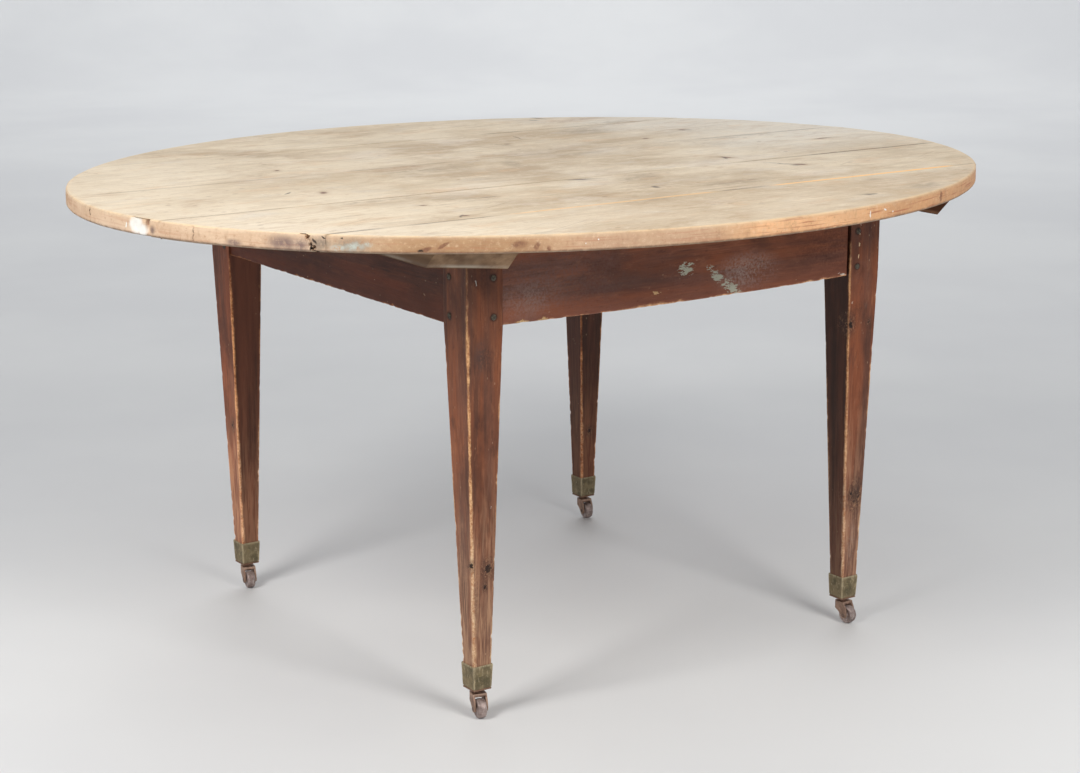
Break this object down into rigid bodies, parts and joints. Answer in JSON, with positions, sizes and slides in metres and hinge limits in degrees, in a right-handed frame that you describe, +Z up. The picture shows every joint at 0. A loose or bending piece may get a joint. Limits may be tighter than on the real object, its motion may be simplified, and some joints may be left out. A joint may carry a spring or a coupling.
{
  "type": "farmhouse dining table",
  "caption": "Oval plank-top farmhouse dining table on a square apron frame with tapered legs and swivelling brass cup castors.",
  "frame": {"origin": "on the floor, under the centre of the oval top", "axes": "+X along the top boards (the oval's length), +Y towards the back, +Z up"},
  "size_m": [1.55, 1.2799, 0.755],
  "materials": {
    "top_pine": "scrubbed, weathered pale pine",
    "dowel_wood": "raw turned dowel",
    "batten_pine": "raw grey-brown pine",
    "frame_pine": "worn red-brown stained pine",
    "peg_oak": "dark riven peg",
    "cup_brass": "dull olive tarnish",
    "horn_brass": "brown tarnish, rubbed edges",
    "wheel_brass": "scuffed, pinkish tarnish",
    "rivet_iron": "dark peened iron",
    "iron_screw": "aged iron wood screw",
    "brass_screw": "dull brass screw"
  },
  "bodies": {
    "table": {"board_1_front": "top_pine", "board_2": "top_pine", "board_3_middle": "top_pine", "board_4": "top_pine", "board_5_back": "top_pine", "board_dowels": "dowel_wood", "batten_left": "batten_pine", "batten_screws_left": "iron_screw", "batten_right": "batten_pine", "batten_screws_right": "iron_screw", "pocket_screws": "iron_screw", "leg_front_left": "frame_pine", "leg_front_right": "frame_pine", "leg_back_left": "frame_pine", "leg_back_right": "frame_pine", "rail_front": "frame_pine", "rail_back": "frame_pine", "rail_left": "frame_pine", "rail_right": "frame_pine", "pegs_front_left": "peg_oak", "pegs_front_right": "peg_oak", "pegs_back_left": "peg_oak", "pegs_back_right": "peg_oak", "castor_cup_front_left": "cup_brass", "castor_rivet_front_left": "rivet_iron", "castor_cup_front_right": "cup_brass", "castor_rivet_front_right": "rivet_iron", "castor_cup_back_left": "cup_brass", "castor_rivet_back_left": "rivet_iron", "castor_cup_back_right": "cup_brass", "castor_rivet_back_right": "rivet_iron", "cup_screws": "brass_screw"},
    "horn_front_left": {"castor_horn_front_left": "horn_brass", "castor_axle_front_left": "rivet_iron"},
    "wheel_front_left": {"castor_wheel_front_left": "wheel_brass"},
    "horn_front_right": {"castor_horn_front_right": "horn_brass", "castor_axle_front_right": "rivet_iron"},
    "wheel_front_right": {"castor_wheel_front_right": "wheel_brass"},
    "horn_back_left": {"castor_horn_back_left": "horn_brass", "castor_axle_back_left": "rivet_iron"},
    "wheel_back_left": {"castor_wheel_back_left": "wheel_brass"},
    "horn_back_right": {"castor_horn_back_right": "horn_brass", "castor_axle_back_right": "rivet_iron"},
    "wheel_back_right": {"castor_wheel_back_right": "wheel_brass"}
  },
  "joints": [
    {"name": "swivel_front_left", "type": "hinge", "parent": "table", "child": "horn_front_left", "pos_m": [-0.3625, -0.368, 0.039], "axis": [0, 0, 1], "continuous": true},
    {"name": "roll_front_left", "type": "hinge", "parent": "horn_front_left", "child": "wheel_front_left", "pos_m": [-0.36586, -0.38056, 0.015], "axis": [0.9659, -0.2588, 0], "continuous": true},
    {"name": "swivel_front_right", "type": "hinge", "parent": "table", "child": "horn_front_right", "pos_m": [0.367, -0.369, 0.039], "axis": [0, 0, 1], "continuous": true},
    {"name": "roll_front_right", "type": "hinge", "parent": "horn_front_right", "child": "wheel_front_right", "pos_m": [0.36836, -0.38193, 0.015], "axis": [0.9945, 0.1045, 0], "continuous": true},
    {"name": "swivel_back_left", "type": "hinge", "parent": "table", "child": "horn_back_left", "pos_m": [-0.364, 0.367, 0.039], "axis": [0, 0, 1], "continuous": true},
    {"name": "roll_back_left", "type": "hinge", "parent": "horn_back_left", "child": "wheel_back_left", "pos_m": [-0.3667, 0.35428, 0.015], "axis": [0.9781, -0.2079, 0], "continuous": true},
    {"name": "swivel_back_right", "type": "hinge", "parent": "table", "child": "horn_back_right", "pos_m": [0.364, 0.367, 0.039], "axis": [0, 0, 1], "continuous": true},
    {"name": "roll_back_right", "type": "hinge", "parent": "horn_back_right", "child": "wheel_back_right", "pos_m": [0.36264, 0.35407, 0.015], "axis": [0.9945, -0.1045, 0], "continuous": true}
  ]
}
